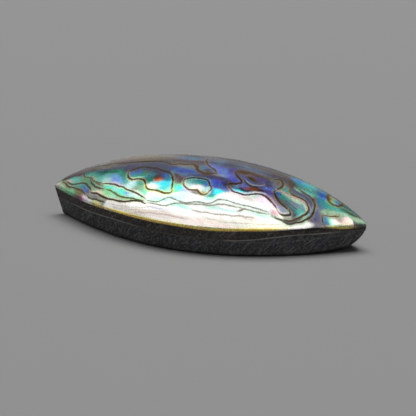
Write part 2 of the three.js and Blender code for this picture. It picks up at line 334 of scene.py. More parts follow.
# Patches of colour in each cell and in the field round them: colour, x, s, half length, half breadth and
# turn in degrees.
PATCHES = {
    "field": [
        # Front edge of the left end.
        ("satin", -19.4, -0.5, 0.4, 0.15, -50), ("celadon", -18.6, -1.35, 0.8, 0.15, -50),
        ("leaf", -17.9, -1.6, 0.8, 0.15, -45), ("jade", -16.9, -3.0, 1.1, 0.3, -42),
        ("olive", -15.3, -4.1, 0.7, 0.25, -40), ("plum", -15.1, -4.85, 0.6, 0.2, -42),
        ("orchid", -14.0, -5.5, 0.5, 0.2, -42), ("pearl_and_highlight", -13.3, -6.0, 0.4, 0.2, -40),
        ("straw", -11.9, -6.9, 0.8, 0.25, -33), ("slate", -10.7, -7.3, 0.35, 0.3, 0),
        # Between the lines of the fan.
        ("blush", -17.4, -1.5, 0.5, 0.12, -28), ("sea", -17.0, -2.1, 0.5, 0.12, -35),
        ("teal", -15.6, -3.0, 0.8, 0.2, -38), ("lagoon", -14.6, -3.8, 0.35, 0.2, -45),
        ("cobalt", -14.1, -4.3, 0.3, 0.2, -50), ("dusk", -13.6, -4.8, 0.3, 0.2, -50),
        ("ash", -13.3, -5.3, 0.4, 0.12, -40), ("slate", -12.4, -5.9, 0.6, 0.15, -35),
        ("smoke", -11.3, -6.6, 0.6, 0.15, -30), ("sea", -16.4, -1.8, 0.6, 0.2, -30),
        ("fern", -14.6, -2.75, 0.7, 0.2, -38), ("emerald", -13.5, -3.7, 0.5, 0.3, -45),
        ("sage", -12.5, -4.9, 0.6, 0.2, -38), ("cream", -11.7, -5.55, 0.5, 0.15, -35),
        ("leaf", -10.6, -6.1, 0.6, 0.25, -30), ("mint", -9.6, -6.6, 0.5, 0.2, -30),
        ("celadon", -8.8, -7.15, 0.5, 0.15, -25), ("aqua", -10.4, -5.35, 0.55, 0.22, -25),
        ("seafoam", -9.4, -5.75, 0.4, 0.2, -25), ("aqua", -8.2, -6.35, 0.5, 0.25, -25),
        ("sky", -7.6, -6.7, 0.3, 0.12, -30), ("ice", -6.9, -7.1, 0.6, 0.15, -20),
        ("sage", -7.3, -7.55, 1.5, 0.08, -12),
        # Above the fan: the bright window left of the kidney.
        ("sea", -14.0, -2.2, 0.6, 0.25, -20), ("teal", -12.9, -2.65, 0.6, 0.3, -15),
        ("deep_teal", -12.1, -2.7, 0.5, 0.25, 0), ("sage", -13.0, -3.2, 0.4, 0.15, -45),
        ("sea", -12.2, -3.6, 0.4, 0.25, -45), ("emerald", -10.7, -2.95, 0.7, 0.2, -5),
        ("sea", -11.2, -3.4, 0.5, 0.2, -20), ("mist", -11.3, -4.0, 0.5, 0.25, -10),
        ("sky", -10.0, -4.1, 0.8, 0.25, -40), ("teal", -9.5, -3.5, 0.4, 0.2, -45),
        ("emerald", -9.1, -3.75, 0.5, 0.22, -50), ("sky", -9.2, -4.7, 0.6, 0.25, -30),
        ("lavender", -9.3, -5.05, 0.6, 0.12, -28), ("teal", -8.6, -4.5, 0.4, 0.2, -55),
        ("sea", -8.2, -5.1, 0.3, 0.2, -40), ("ice", -7.4, -5.5, 0.5, 0.3, -20),
        ("viridian", -6.2, -5.6, 0.3, 0.35, 80), ("sage", -6.2, -6.3, 0.6, 0.25, -30),
        ("spring", -5.2, -7.0, 0.5, 0.3, -40), ("ice", -5.9, -6.9, 0.3, 0.1, -35),
        # The dull band above it, under the ridge.
        ("slate", -11.3, -2.3, 1.5, 0.15, -5), ("slate", -8.5, -2.4, 1.2, 0.4, -8),
        ("dusk", -8.6, -3.0, 0.6, 0.3, -30), ("slate", -6.0, -2.5, 1.5, 0.25, 0),
        ("slate", -3.9, -2.9, 0.8, 0.4, -25), ("stone", -12.0, -1.8, 1.4, 0.2, -8),
        ("ash", -9.5, -1.95, 1.5, 0.12, -4), ("mauve", -9.5, -1.1, 1.2, 0.25, -5),
        ("smoke", -17.0, -0.9, 1.5, 0.15, -5), ("mauve", -15.6, -1.3, 0.7, 0.25, -20),
        ("smoke", -13.8, -1.6, 0.7, 0.3, -15), ("smoke", -16.0, 0.1, 2.5, 0.35, 3),
        ("stone", -13.6, 0.1, 0.9, 0.6, 0), ("tan", -10.5, -0.3, 1.3, 0.5, 0),
        ("khaki", -8.5, 0.2, 1.2, 0.5, 0), ("tan", -6.6, -0.9, 1.2, 0.4, 0),
        ("stone", -6.0, 1.2, 3.5, 0.8, 0), ("stone", -10.0, 1.4, 2.5, 0.6, 6),
        # The middle.
        ("steel", -1.5, -0.4, 0.8, 0.45, 0), ("ash", -3.4, -1.5, 0.9, 0.2, -15),
        ("mauve", -1.2, -1.6, 1.4, 0.2, 0), ("tan", -2.2, -2.1, 0.5, 0.15, 0),
        ("stone", -1.4, -2.55, 0.9, 0.22, -5), ("steel", -0.7, -3.0, 0.6, 0.2, -10),
        ("cobalt", -1.6, -3.5, 0.9, 0.3, -5), ("cobalt", -0.3, -3.7, 0.6, 0.25, -8),
        ("steel", -1.2, -4.15, 0.9, 0.2, -5), ("dusk", 0.4, -4.2, 0.9, 0.15, 0),
        ("steel", 0.9, -2.6, 0.45, 0.3, -20), ("smoke", 1.5, -2.9, 0.3, 0.2, -35),
        ("mauve", 0.2, -1.6, 0.5, 0.3, 0), ("khaki", 0.85, -1.5, 0.15, 0.3, 20),
        ("pewter", 0.9, -0.2, 0.6, 0.8, 0), ("periwinkle", 1.9, -1.9, 0.5, 0.25, -30),
        ("periwinkle", 3.3, -2.6, 0.9, 0.4, -20), ("periwinkle", 4.3, -3.2, 0.6, 0.3, -20),
        ("violet", 5.1, -3.6, 0.45, 0.4, -40), ("purple", 4.3, -2.3, 0.35, 0.5, 0),
        ("slate", 3.2, -0.9, 1.2, 0.6, 0), ("steel", 2.2, -0.7, 0.4, 0.7, 0),
        ("silver", 3.2, -3.45, 0.5, 0.1, 0), ("dusk", 2.2, -4.1, 1.5, 0.18, 0),
        ("dusk", 4.3, -4.25, 0.8, 0.18, 0),
        # Between the kidney and the bean.
        ("bark", -1.7, -4.5, 0.4, 0.15, -30), ("mauve", -1.3, -4.85, 0.45, 0.25, -20),
        ("bronze", -1.5, -4.55, 0.15, 0.06, -20), ("bark", -1.1, -5.25, 0.3, 0.2, 0),
        ("ash", -1.45, -5.4, 0.2, 0.2, 0), ("spring", -1.3, -5.95, 0.35, 0.25, 0),
        ("cyan", -0.8, -6.2, 0.3, 0.15, -10), ("lavender", -0.1, -6.5, 0.25, 0.12, -10),
        ("spring", -1.2, -6.7, 0.3, 0.2, 0),
        # Right of the bean.
        ("violet", 3.3, -4.7, 0.7, 0.25, -10), ("cobalt", 3.6, -5.1, 0.6, 0.2, 0),
        ("shade", 4.5, -4.8, 0.4, 0.2, 0), ("purple", 4.0, -5.4, 0.6, 0.15, 5),
        ("steel", 4.7, -5.55, 0.4, 0.12, 5), ("cyan", 3.7, -6.0, 0.5, 0.25, 10),
        ("denim", 3.1, -6.1, 0.15, 0.25, 0), ("teal", 3.2, -6.6, 0.25, 0.15, 0),
        # Over the figure and the ridge.
        ("pewter", 7.5, -0.9, 1.8, 0.5, 0), ("mauve", 9.5, -0.8, 0.8, 0.4, -20),
        ("steel", 6.3, -0.5, 1.0, 0.25, 0), ("smoke", 7.5, 1.2, 4.0, 0.5, 0),
        ("smoke", 3.0, 1.2, 3.0, 0.7, 0), ("satin", -1.0, 1.6, 2.0, 0.5, 0),
        # Round the wedge.
        ("ash", 11.05, -2.1, 0.2, 0.5, 8), ("sea", 11.05, -2.7, 0.2, 0.3, 0),
        ("slate", 12.6, -2.3, 0.7, 0.3, -8), ("dusk", 13.3, -2.5, 0.5, 0.2, -10),
        ("mint", 12.2, -1.75, 0.2, 0.1, -20), ("dusk", 14.3, -3.3, 0.12, 0.6, 0),
        ("verdigris", 13.9, -4.5, 0.15, 0.6, -30), ("smoke", 12.2, -6.3, 0.9, 0.15, 30),
        # Right of the wedge, over to the tip.
        ("cyan", 12.9, -0.1, 0.7, 0.35, -10), ("azure", 11.9, 0.5, 0.5, 0.4, 0),
        ("seafoam", 12.7, 0.9, 0.7, 0.4, 0), ("seafoam", 13.3, -0.6, 0.5, 0.4, 0),
        ("steel", 14.2, 0.4, 0.4, 0.7, 0), ("azure", 14.95, -0.5, 0.3, 0.5, 0),
        ("sea", 13.6, -1.1, 0.5, 0.15, -10), ("lagoon", 15.0, -1.7, 0.4, 0.3, -20),
        ("teal", 15.8, -1.7, 0.6, 0.3, 20), ("sea", 16.7, -1.4, 0.6, 0.2, 20),
        ("emerald", 17.6, -0.95, 0.7, 0.12, 15), ("jade", 16.2, -1.2, 0.5, 0.1, 5),
        ("sage", 15.9, -2.45, 0.5, 0.15, 38), ("celadon", 16.6, -2.1, 0.6, 0.12, 38),
        ("slate", 14.95, -2.5, 0.25, 0.5, 0), ("dusk", 14.9, -3.6, 0.25, 0.4, 0),
        ("shade", 14.6, -4.3, 0.3, 0.3, 40), ("smoke", 15.2, -4.5, 0.35, 0.2, 40),
        ("ash", 15.8, -4.3, 0.3, 0.12, 40), ("celadon", 17.4, -1.45, 0.6, 0.07, 30),
        ("verdigris", 17.8, -0.3, 0.8, 0.3, 10), ("sage", 18.9, -0.75, 0.3, 0.08, 30),
        ("sage", 19.3, -0.4, 0.4, 0.1, 25),
        # Just behind the ridge.
        ("dusk", -14.0, 1.9, 2.0, 0.5, 0), ("azure", -7.5, 2.1, 1.8, 0.4, 0),
        ("sage", -3.0, 2.4, 1.4, 0.4, 0), ("lagoon", 2.0, 2.2, 1.6, 0.4, 0),
        ("violet", 6.5, 2.1, 1.4, 0.4, 0), ("teal", 10.5, 2.0, 1.3, 0.4, 0),
        ("jade", 14.2, 1.5, 1.0, 0.4, 0),
    ],
    "kidney": [
        ("dusk", -5.2, -3.7, 1.2, 0.3, -12), ("slate", -7.3, -3.4, 0.7, 0.25, 10),
        ("blue", -7.2, -3.8, 0.5, 0.2, 5), ("teal", -6.5, -4.3, 0.9, 0.3, 0),
        ("fern", -5.8, -4.0, 0.45, 0.25, -10), ("denim", -5.1, -4.5, 0.35, 0.3, 0),
        ("mint", -7.2, -4.7, 0.6, 0.1, 5), ("emerald", -5.1, -5.2, 0.3, 0.5, -20),
        ("umber", -4.0, -4.8, 0.7, 0.25, 0), ("amber", -3.9, -5.15, 0.34, 0.24, 0),
        ("blue", -3.1, -4.6, 0.35, 0.4, -20), ("lagoon", -2.7, -5.1, 0.3, 0.3, 0),
        ("cyan", -3.2, -5.7, 0.9, 0.3, -5), ("turquoise", -2.6, -6.2, 0.4, 0.35, 0),
        ("pearl_and_highlight", -4.4, -6.1, 0.5, 0.25, -10), ("mint", -2.2, -6.6, 0.3, 0.25, 0),
        ("turquoise", -3.1, -6.6, 0.5, 0.1, -15),
    ],
    "bean": [
        ("sea", 0.2, -5.1, 0.5, 0.3, 20), ("lagoon", 1.2, -4.95, 0.6, 0.3, 0),
        ("blue", 2.1, -5.2, 0.25, 0.35, 0), ("teal", 1.4, -5.35, 0.4, 0.15, 0),
        ("mist", 0.2, -5.6, 0.4, 0.25, -20), ("pearl_and_highlight", 1.1, -5.85, 0.7, 0.25, -5),
        ("mist", 2.4, -6.0, 0.25, 0.25, 0), ("moss", 2.2, -6.55, 0.45, 0.13, 10),
    ],
    "figure": [
        ("bark", 6.3, -1.9, 0.7, 0.2, 0), ("dusk", 8.2, -2.2, 0.8, 0.25, 0),
        ("mauve", 6.6, -2.4, 0.6, 0.15, 0), ("purple", 8.0, -2.6, 0.4, 0.25, 0),
        ("dusk", 9.0, -2.7, 0.4, 0.35, 20), ("pewter", 9.7, -2.5, 0.25, 0.3, 20),
        ("tan", 9.9, -1.9, 0.3, 0.3, 20), ("cobalt", 6.4, -3.1, 0.35, 0.15, -30),
        ("bark", 7.0, -2.9, 0.5, 0.18, 0), ("slate", 7.9, -3.1, 0.35, 0.2, 0),
        ("periwinkle", 9.0, -3.5, 0.6, 0.22, 15), ("periwinkle", 6.3, -4.0, 0.5, 0.35, -30),
        ("rust", 7.3, -4.35, 0.55, 0.14, 8), ("umber", 8.0, -4.2, 0.8, 0.15, 5),
        ("purple", 9.3, -4.1, 0.35, 0.3, 0), ("mauve", 10.2, -4.55, 0.6, 0.2, -20),
        ("pewter", 11.5, -5.25, 0.5, 0.22, -10), ("steel", 5.5, -4.75, 0.4, 0.2, 0),
        ("umber", 5.0, -4.8, 0.2, 0.2, 0), ("cyan", 6.2, -5.2, 0.8, 0.12, 5),
        ("ice", 7.9, -4.8, 0.7, 0.1, 18), ("shade", 6.6, -4.8, 0.6, 0.15, 5),
    ],
    "wedge": [
        ("blue", 10.4, -3.6, 0.3, 0.2, -20), ("teal", 11.1, -3.75, 0.5, 0.2, -5),
        ("celadon", 12.2, -3.4, 0.9, 0.15, 0), ("slate", 12.6, -3.9, 0.8, 0.25, 0),
        ("shade", 11.3, -4.4, 0.5, 0.2, -15), ("deep_teal", 12.2, -4.4, 0.5, 0.2, -10),
        ("teal", 13.2, -4.4, 0.3, 0.4, -30), ("shade", 12.6, -5.2, 0.3, 0.4, -30),
        ("verdigris", 13.5, -3.6, 0.3, 0.3, 0),
    ],
    "notch": [
        ("straw", 15.8, -0.5, 0.2, 0.3, 0), ("mint", 16.2, -0.4, 0.25, 0.3, 0),
        ("sky", 16.6, -0.4, 0.2, 0.3, 0), ("smoke", 16.3, 0.5, 0.6, 0.3, 0),
    ],
    "toe": [
        ("navy", 15.9, -3.6, 0.25, 0.25, 0), ("lagoon", 16.05, -3.35, 0.2, 0.2, 40),
        ("mint", 16.4, -3.1, 0.3, 0.2, 40), ("pearl_and_highlight", 16.85, -2.85, 0.3, 0.15, 40),
        ("cream", 17.0, -2.65, 0.3, 0.12, 40), ("ash", 17.25, -2.35, 0.4, 0.1, 40),
        ("sage", 17.0, -2.0, 0.3, 0.1, 30), ("blush", 17.9, -1.95, 0.4, 0.12, 40),
        ("cream", 18.1, -1.75, 0.4, 0.07, 40), ("blush", 18.3, -1.5, 0.4, 0.1, 40),
        ("cream", 18.2, -2.0, 0.4, 0.07, 40), ("pearl_and_highlight", 18.9, -1.0, 0.4, 0.14, 40),
        ("sage", 17.6, -2.75, 0.5, 0.08, 40),
    ],
    # Near-white patches over the front slope: pale nacre, with a painted highlight where the front softbox's
    # reflection falls.
    "pearl_and_highlight": [
        ("pearl_and_highlight", 0.0, -9.0, 9.0, 1.5, 0), ("pearl_and_highlight", 8.0, -7.0, 4.0, 1.2, 10),
        ("pearl_and_highlight", -9.6, -7.4, 0.4, 0.2, -25), ("pearl_and_highlight", -6.5, -8.6, 2.0, 0.3, -10),
        ("satin", -4.0, -9.5, 3.0, 0.3, -6), ("satin", 7.0, -9.2, 3.0, 0.4, 10),
        ("mint", -2.9, -7.9, 0.7, 0.15, -5), ("ice", -0.9, -7.55, 0.5, 0.15, 0),
        ("seafoam", -0.2, -8.6, 0.8, 0.12, -5), ("ice", -0.1, -7.1, 0.3, 0.3, 20),
        ("mint", 3.2, -6.95, 0.4, 0.15, 30), ("mist", 3.7, -8.15, 0.4, 0.12, 10),
        ("orchid", 9.4, -5.3, 0.9, 0.3, 0), ("satin", 7.4, -5.6, 0.7, 0.2, 5),
        ("spring", 7.9, -5.2, 0.4, 0.15, 15), ("rose", 10.6, -6.1, 0.25, 0.15, 0),
        ("mint", 9.2, -7.1, 0.8, 0.15, 10), ("cream", 9.5, -8.0, 1.5, 0.4, 20),
        ("satin", 8.3, -8.0, 0.6, 0.2, 20), ("cream", -5.6, -9.2, 1.3, 0.1, -8),
        ("silver", -3.2, -9.0, 0.9, 0.08, -8), ("satin", -1.2, -9.9, 1.8, 0.25, 0),
        ("blush", 4.4, -9.7, 1.8, 0.3, 8), ("mist", 5.6, -7.9, 1.0, 0.1, 8),
        ("satin", 10.6, -7.4, 1.2, 0.1, 28),
    ],
}

# How patches, streaks and lines are laid down, in millimetres on the nacre's face and in degrees.
PATCH_FALL = 1.0
PATCH_SOFTNESS = 0.75
GROUND_WEIGHT = 0.02
CELL_BLUR = 0.07
# The pearl cell, pale nacre with a painted highlight, has the softer edge.
PEARL_AND_HIGHLIGHT_BLUR = 0.16
CELL_MARGIN = 1.0
STREAK_STRENGTH = 0.16
STREAK_LEAN = -20.0
STREAK_TURN = -25.0
GAP_LIMIT = 2.0
TAPER_LENGTH = 0.9
TAPER_LOW = 0.35
BORDER_STRENGTH = 0.75
BORDER_OFFSET = 0.10
BORDER_WIDTH = 0.09
WAVER_SEEDS = ((1, 2), (3, 4))
STREAK_SEEDS = (41, 42)

# The hidden side: how far over the ridge it starts, how softly, and how the pattern is pulled about.
BACK_START = 1.2
BACK_BLEND = 1.5
BACK_SLANT = 0.02
BACK_PULL, BACK_PULL_SIZE, BACK_PULL_SEED = 2.2, 6.0, 21
BACK_DRIFT, BACK_DRIFT_SIZE, BACK_DRIFT_SEED = 0.6, 4.5, 22

# Bands of gold up the rim: colour, height over the nacre's lower edge, and half breadth.
RIM_COLOURS = [("lemon", 0.28, 0.12), ("honey", 0.12, 0.10), ("bronze", -0.03, 0.05)]
RIM_STRENGTH = 0.95
GOLD_STRETCH = (-13.5, -8, 10, 13)
TIP_GOLD_STRETCH = (15.5, 17, 18, 19.5)
TIP_GOLD = 0.6
SOOT_LOW, SOOT_HIGH = -0.08, 0.02


def region_masks(x, s):
    """How much each point belongs to each cell, from 0 to 1, and to the field round them."""
    masks = {}
    left = np.ones(x.shape)
    for name, points in CELLS.items():
        path = smooth_path(points, closed=True)
        beside = np.abs(x - path[:, 0].mean()) < np.ptp(path[:, 0])
        near = beside & (s < path[:, 1].max() + CELL_MARGIN)
        mask = np.zeros(x.shape)
        distance, _ = path_distance(x[near], s[near], path)
        signed = np.where(inside_path(x[near], s[near], path), -distance, distance)
        blur = PEARL_AND_HIGHLIGHT_BLUR if name == "pearl_and_highlight" else CELL_BLUR
        mask[near] = 1 - smoothstep(-blur, blur, signed)
        masks[name] = mask * left
        left = left * (1 - mask)
    masks["field"] = left
    return masks


def blend_patches(x, s, patches, ground):
    """The patches' colours, each fading out as an ellipse, over a ground that shows where none reaches."""
    total = np.full(x.shape, GROUND_WEIGHT)
    colour = GROUND_WEIGHT * ground
    for tone, px, ps, length, breadth, turn in patches:
        c, d = math.cos(math.radians(turn)), math.sin(math.radians(turn))
        along = ((x - px) * c + (s - ps) * d) / length
        across = ((s - ps) * c - (x - px) * d) / breadth
        fall = np.exp(-PATCH_FALL * (along**2 + across**2) ** PATCH_SOFTNESS)
        weight = fall / math.sqrt(length * breadth)
        total += weight
        colour = colour + weight[:, None] * linear(PALETTE[tone])
    return colour / total[:, None]


def streaks(x, s):
    """Fine streaks of lighter and darker nacre, which fan out along the stone, from -1 to 1."""
    turn = np.radians(STREAK_TURN * np.clip(x / HALF_LENGTH, -1, 1) + STREAK_LEAN)
    along = x * np.cos(turn) + s * np.sin(turn)
    across = s * np.cos(turn) - x * np.sin(turn)
    long_seed, short_seed = STREAK_SEEDS
    return 0.6 * cloud(along, 7 * across, 1.6, long_seed) + 0.4 * cloud(along, 5 * across, 0.7, short_seed)


def waver(x, s, seeds):
    """How far a place is shifted, in millimetres, so that no line or patch is quite regular."""
    broad_seed, narrow_seed = seeds
    return 0.10 * cloud(x, s, 0.9, broad_seed) + 0.03 * cloud(x, s, 0.4, narrow_seed)


def paint_patches(x, s, wavered_x, wavered_s):
    ground = np.tile(linear(PALETTE["smoke"]), (len(x), 1))
    colour = np.zeros((len(x), 3))
    for name, mask in region_masks(x, s).items():
        colour += mask[:, None] * blend_patches(wavered_x, wavered_s, PATCHES[name], ground)
    return colour * (1 + STREAK_STRENGTH * streaks(x, s)[:, None])


def clear_of_line(x, s, path, width):
    """Distance to the edge of a line that thins towards its ends."""
    distance, along = path_distance(x, s, path)
    length = np.linalg.norm(np.diff(path, axis=0), axis=1).sum()
    from_end = np.minimum(along, 1 - along) * length
    return distance - width * (TAPER_LOW + (1 - TAPER_LOW) * smoothstep(0, TAPER_LENGTH, from_end))


def paint_pattern(x, s):
    """Colour, distance to the nearest line, and that line's colour and strength, at each point."""
    wavered_x, wavered_s = (place + waver(x, s, seeds) for place, seeds in zip((x, s), WAVER_SEEDS))
    colour = paint_patches(x, s, wavered_x, wavered_s)
    gap = np.full(x.shape, GAP_LIMIT)
    line_colour = np.tile(linear(PALETTE["umber"]), (len(x), 1))
    strength = np.zeros(x.shape)
    for tone, border, width, power, points in LINES:
        path = smooth_path(points)
        low, high = path.min(0) - GAP_LIMIT, path.max(0) + GAP_LIMIT
        near = np.flatnonzero((x > low[0]) & (x < high[0]) & (s > low[1]) & (s < high[1]))
        clear = clear_of_line(wavered_x[near], wavered_s[near], path, width)
        # A line's border shows more on bright nacre than on dark.
        shows = BORDER_STRENGTH * power * np.clip(0.2 + 1.6 * colour[near].mean(1), 0, 1)
        rim = shows * np.exp(-(((clear - BORDER_OFFSET) / BORDER_WIDTH) ** 2))
        colour[near] += rim[:, None] * (linear(PALETTE[border]) - colour[near])
        closer = clear < gap[near]
        gap[near[closer]] = clear[closer]
        line_colour[near[closer]] = linear(PALETTE[tone])
        strength[near[closer]] = power
    return colour, gap, line_colour, strength


def turn_to_back(x, s):
    """Where the hidden side takes its pattern from: the visible side, turned half round and pulled about."""
    from_tips = 1 - (x / HALF_LENGTH) ** 2
    pull = BACK_PULL * cloud(x, s, BACK_PULL_SIZE, BACK_PULL_SEED) * from_tips
    drift = BACK_DRIFT * cloud(x, s, BACK_DRIFT_SIZE, BACK_DRIFT_SEED) * from_tips
    return pull - x, drift - s * (1 - 2 * BELLY_SKEW * x / HALF_LENGTH)


def paint_nacre(x, s):
    """The pattern on both sides of the ridge, in the same four values as paint_pattern."""
    colour, gap, line_colour, strength = paint_pattern(x, s)
    hidden = smoothstep(BACK_START, BACK_START + BACK_BLEND, s - BACK_SLANT * x)
    behind = np.flatnonzero(hidden > 0)
    share = hidden[behind]
    mostly = share > 0.5
    back = turn_to_back(x[behind], s[behind])
    back_colour, back_gap, back_line_colour, back_strength = paint_pattern(*back)
    colour[behind] += share[:, None] * (back_colour - colour[behind])
    # Lines fade out on the way to the middle of the blend, and those of the other side fade in.
    strength[behind] = np.abs(1 - 2 * share) * np.where(mostly, back_strength, strength[behind])
    gap[behind[mostly]] = back_gap[mostly]
    line_colour[behind[mostly]] = back_line_colour[mostly]
    return colour, gap, line_colour, strength


def paint_rim(x, above, colour):
    """A golden edge where the nacre thins out at its rim, and dark brown where it meets the backing."""
    golden = stretch(x, *GOLD_STRETCH) + TIP_GOLD * stretch(x, *TIP_GOLD_STRETCH)
    for name, height, breadth in RIM_COLOURS:
        share = RIM_STRENGTH * golden * np.exp(-(((above - height) / breadth) ** 2))
        colour = colour + share[:, None] * (linear(PALETTE[name]) - colour)
    under = 1 - smoothstep(SOOT_LOW, SOOT_HIGH, above)
    return colour + under[:, None] * (linear(PALETTE["soot"]) - colour)


# ---- Pieces ----
def add_mesh(name, vertices, faces, replaced, material):
    mesh = bpy.data.meshes.new(name)
    mesh.from_pydata((np.asarray(vertices) * MM).tolist(), [], faces)
    mesh.update()
    piece = bpy.data.objects.new(name, mesh)
    bpy.context.scene.collection.objects.link(piece)
    mesh.materials.append(material)
    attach(piece, "root")
    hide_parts(replaced)
    return piece


def add_values(piece, name, values):
    layer = piece.data.attributes.new(name, "FLOAT", "POINT")
    layer.data.foreach_set("value", np.asarray(values, np.float32).ravel())


def add_colours(piece, name, colours, alpha):
    layer = piece.data.attributes.new(name, "FLOAT_COLOR", "POINT")
    channels = np.column_stack([np.clip(colours, 0, 1), alpha])
    layer.data.foreach_set("color", channels.astype(np.float32).ravel())


def shade_smooth(piece, crease):
    """Smooth shading, with a crease at every edge sharper than this angle in degrees."""
    piece.data.shade_smooth()
    piece.data.set_sharp_from_angle(angle=math.radians(crease))


# The nacre's mesh. Its rows are closer together on the front, and its stations towards the tips.
CAP_STATIONS = 402
TIP_CROWDING = 0.55
FRONT_ROWS = 142
BACK_ROWS = 80
BACK_SHARE = 0.16  # how much of the back has rows as close together as the front
BAND_ROWS = 3
FINE_STEPS = 801  # steps for measuring the way over the dome
NACRE_CREASE = 50

# How far the nacre's skin reaches down over the wall, or stops short where it is negative: (station, drop).
RIM_DROPS = [(-1, 0), (-0.7, 0.1), (-0.4, 0), (-0.1, 0.04), (0.2, 0.17),
             (0.45, 0), (0.73, -0.25), (0.92, 0.22), (1, 0.1)]


def dome_rows(u):
    """The rows across the dome at a station: their r and s."""
    fine = np.sin(np.linspace(-math.pi / 2, math.pi / 2, FINE_STEPS))
    y = half_width(u) * fine
    z = dome_height(u, fine)
    s = np.concatenate([[0], np.cumsum(np.hypot(np.diff(y), np.diff(z)))])
    s -= np.interp(0, fine, s)
    behind_ridge = s[-1] * BACK_SHARE
    front = np.linspace(s[0], behind_ridge, FRONT_ROWS, endpoint=False)
    rows = np.concatenate([front, np.linspace(behind_ridge, s[-1], BACK_ROWS + 1)])
    r = np.interp(rows, s, fine)
    r[0], r[-1] = -1, 1
    return r, rows


def rim_band(edge, drop):
    """Rows down the upright band below a rim point: the points, and their heights over the girdle."""
    heights = np.linspace(RIM_BAND, -max(drop, 0), BAND_ROWS + 1)[1:]
    points = np.tile(edge, (BAND_ROWS, 1))
    points[:, 2] += heights - RIM_BAND
    return points, heights


def nacre_grid():
    """Rows of points over the nacre, from low on its front edge over the dome to low on its back edge.

    With each point comes its place in the pattern, and how far it is above the nacre's wavy lower edge.
    """
    crowded = -np.cos(np.linspace(0, math.pi, CAP_STATIONS + 1))
    even = np.linspace(-1, 1, CAP_STATIONS + 1)
    points, places = [], []
    for u in TIP_CROWDING * crowded + (1 - TIP_CROWDING) * even:
        drop = float(ease_through(u, RIM_DROPS))
        r, s = dome_rows(u)
        dome = np.column_stack([np.full(len(r), HALF_LENGTH * u), half_width(u) * r, dome_height(u, r)])
        front, heights = rim_band(dome[0], drop)
        back, _ = rim_band(dome[-1], drop)
        points.append(np.vstack([front[::-1], dome, back]))
        below = heights - RIM_BAND
        across = np.concatenate([(s[0] + below)[::-1], s, s[-1] - below])
        over_dome = RIM_BAND + np.minimum(s - s[0], s[-1] - s)
        above = np.concatenate([heights[::-1], over_dome, heights]) + drop
        places.append(np.column_stack([np.full(len(across), HALF_LENGTH * u), across, above]))
    return np.array(points), np.array(places)


def nacre_faces(stations, rows):
    """Faces over the dome, and one across the bottom between each two stations."""
    faces = []
    for i in range(stations - 1):
        first, following = i * rows, (i + 1) * rows
        faces.extend((first + j, following + j, following + j + 1, first + j + 1) for j in range(rows - 1))
        faces.append((first, following - 1, following + rows - 1, following))
    return faces


def build_nacre(material):
    points, places = nacre_grid()
    stations, rows = points.shape[:2]
    faces = nacre_faces(stations, rows)
    piece = add_mesh("nacre", points.reshape(-1, 3), faces, "nacre_cap", material)
    x, s, above = places.reshape(-1, 3).T
    colour, gap, line_colour, strength = paint_nacre(x, s)
    colour = paint_rim(x, above, colour)
    add_colours(piece, "wash", colour, np.ones(len(x)))
    add_colours(piece, "line", line_colour, strength)
    add_values(piece, "gap", gap)
    shade_smooth(piece, NACRE_CREASE)


# The ground wall. Lengths are in millimetres and angles in degrees.
WALL_STATIONS = 880
WALL_CREASE = 40
TIP_PULL_POWER = 15  # how tightly the wall's inset at the tips keeps to the tips
EDGE_RADIUS = 0.25
# Painted shade along the bottom of the wall: full up to the first height over the underside, gone by the
# second.
FOOT_SHADE_FULL = 0.1
FOOT_SHADE_END = 0.45

# Scratches: slant, and the ranges that their middles, lengths, half widths and depths are drawn from.
GRIND_ANGLE = 40.0
GRIND_SPREAD = 7.0
SCRATCH_HEIGHTS = (-0.2, 3.3)
SCRATCH_LENGTHS = (0.25, 1.1)
SCRATCH_WIDTHS = (0.018, 0.034)
SCRATCH_DEPTHS = (0.2, 1)
SCRATCH_FADE = 0.6
SCRATCH_CUT = 0.02
LOWER_SCRATCHES, LOWER_SEED = 1200, 4
UPPER_SCRATCHES, UPPER_SEED = 900, 8

# A groove low on the front: (station, depth below the girdle), and the stretch of stations where it shows.
GROOVE_DEPTHS = [(0.2, 1.33), (0.45, 1.4), (0.7, 1.2), (0.85, 0.95), (1, 0.75)]
GROOVE_HALF_WIDTH = 0.035
GROOVE_STRETCH = (0.22, 0.32, 0.88, 0.95)

# The glue line shows pale on two stretches of stations and faintly between them.
GLUE_STRETCHES = [(-0.88, -0.78, -0.4, -0.25), (0.2, 0.35, 0.82, 0.9)]
GLUE_FAINT = 0.15
GLUE_PALE = 0.75


# How far each wall stands in, and its unevenness: depth, size of the lumps, and seed.
LOWER_INSET, LOWER_LUMPS, LOWER_GRAIN = 0.03, (0.02, 0.5, 31), (0.012, 0.18, 32)
UPPER_INSET, UPPER_LUMPS = 0.02, (0.015, 0.4, 34)
GLUE_INSET, GLUE_LUMPS, GLUE_PATCHINESS = 0.015, (0.02, 0.6, 35), (0.5, 0.7, 36)
RAGGED_DEPTH, RAGGED_SIZE, RAGGED_SEED = 0.05, 0.35, 33


